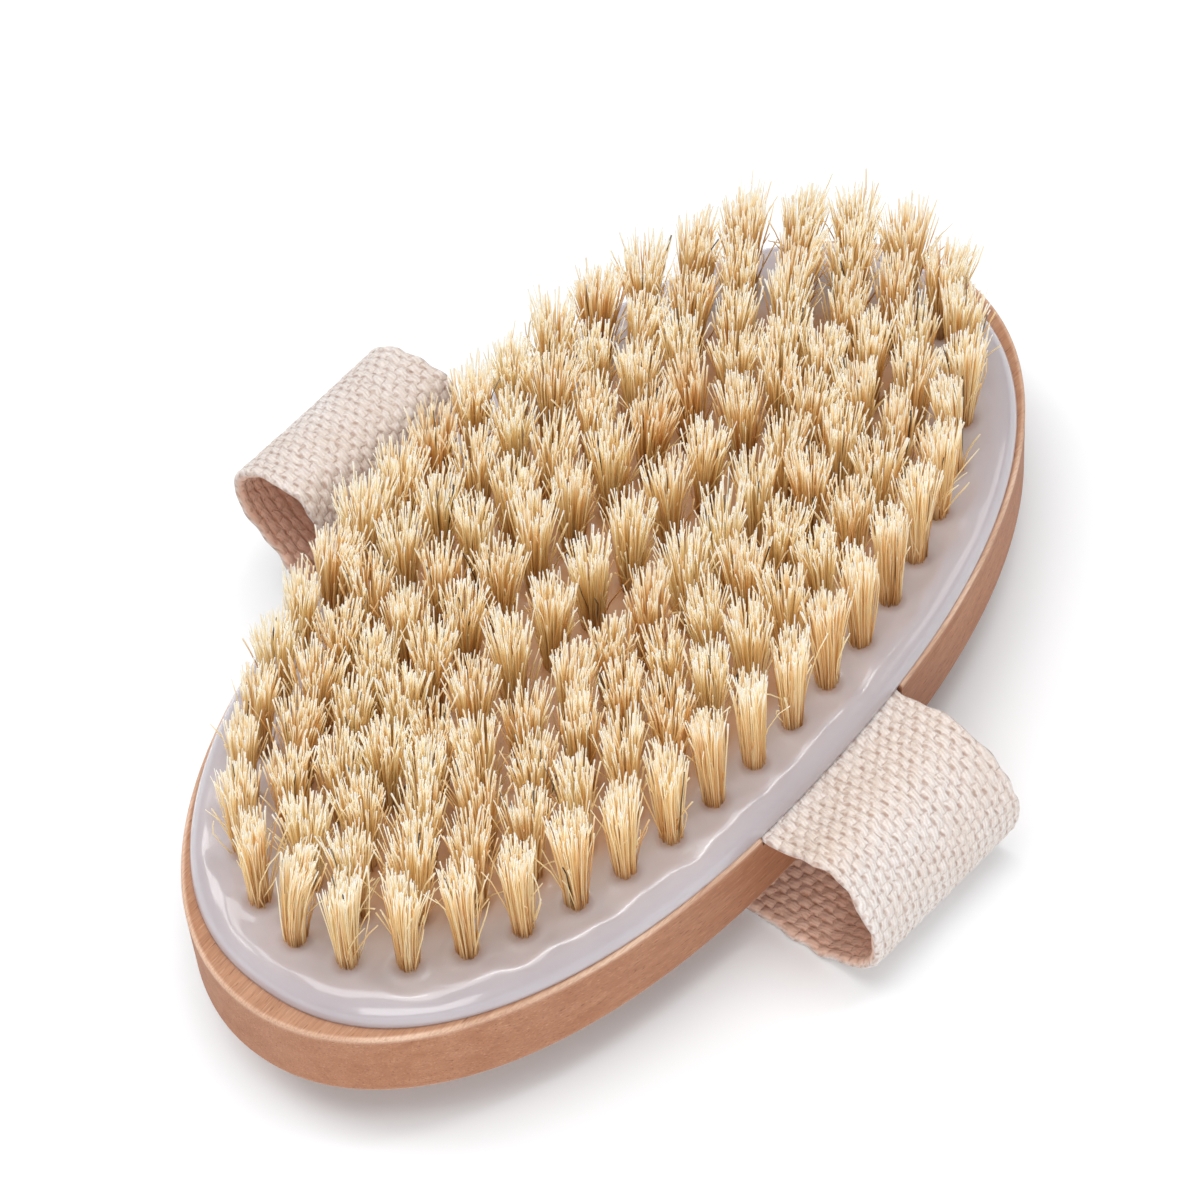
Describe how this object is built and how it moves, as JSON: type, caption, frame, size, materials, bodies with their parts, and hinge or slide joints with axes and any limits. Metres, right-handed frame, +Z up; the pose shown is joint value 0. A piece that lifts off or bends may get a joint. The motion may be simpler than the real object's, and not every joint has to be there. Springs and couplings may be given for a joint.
{
  "type": "body dry brush",
  "caption": "Oval wooden body dry brush with rings of natural bristle tufts set through a soft pad, and a webbing hand strap looped under the back.",
  "frame": {"origin": "middle of the flat run of the webbing that the brush lies on, under the middle of the oval back", "axes": "+X along the long axis of the back, +Y across it, +Z up, the way the bristles point"},
  "size_m": [0.13, 0.098, 0.041],
  "materials": {
    "back_wood": "bare sanded hardwood, satin",
    "pad": "milky translucent soft pad, glossy",
    "webbing": "undyed woven cotton webbing with brown flecks",
    "bristle": "natural bristle, cream with pale trimmed tips",
    "anchor_wire": "flat galvanised wire",
    "staple_wire": "galvanised staple wire"
  },
  "bodies": {
    "brush": {"wooden_back": "back_wood", "bristle_pad": "pad", "strap_staples_left": "staple_wire", "strap_staples_right": "staple_wire", "bristle_tufts_ring_1": "bristle", "bristle_tufts_ring_2": "bristle", "bristle_tufts_ring_3": "bristle", "bristle_tufts_ring_4": "bristle", "bristle_tufts_centre_row": "bristle", "tuft_anchors_ring_1": "anchor_wire", "tuft_anchors_ring_2": "anchor_wire", "tuft_anchors_ring_3": "anchor_wire", "tuft_anchors_ring_4": "anchor_wire", "tuft_anchors_centre_row": "anchor_wire"},
    "strap": {"hand_strap": "webbing"}
  },
  "joints": [
    {"name": "strap_pull", "type": "slide", "parent": "brush", "child": "strap", "axis": [0, 0, 1], "range_m": [-0.018, 0], "deforming": ["hand_strap"]}
  ]
}
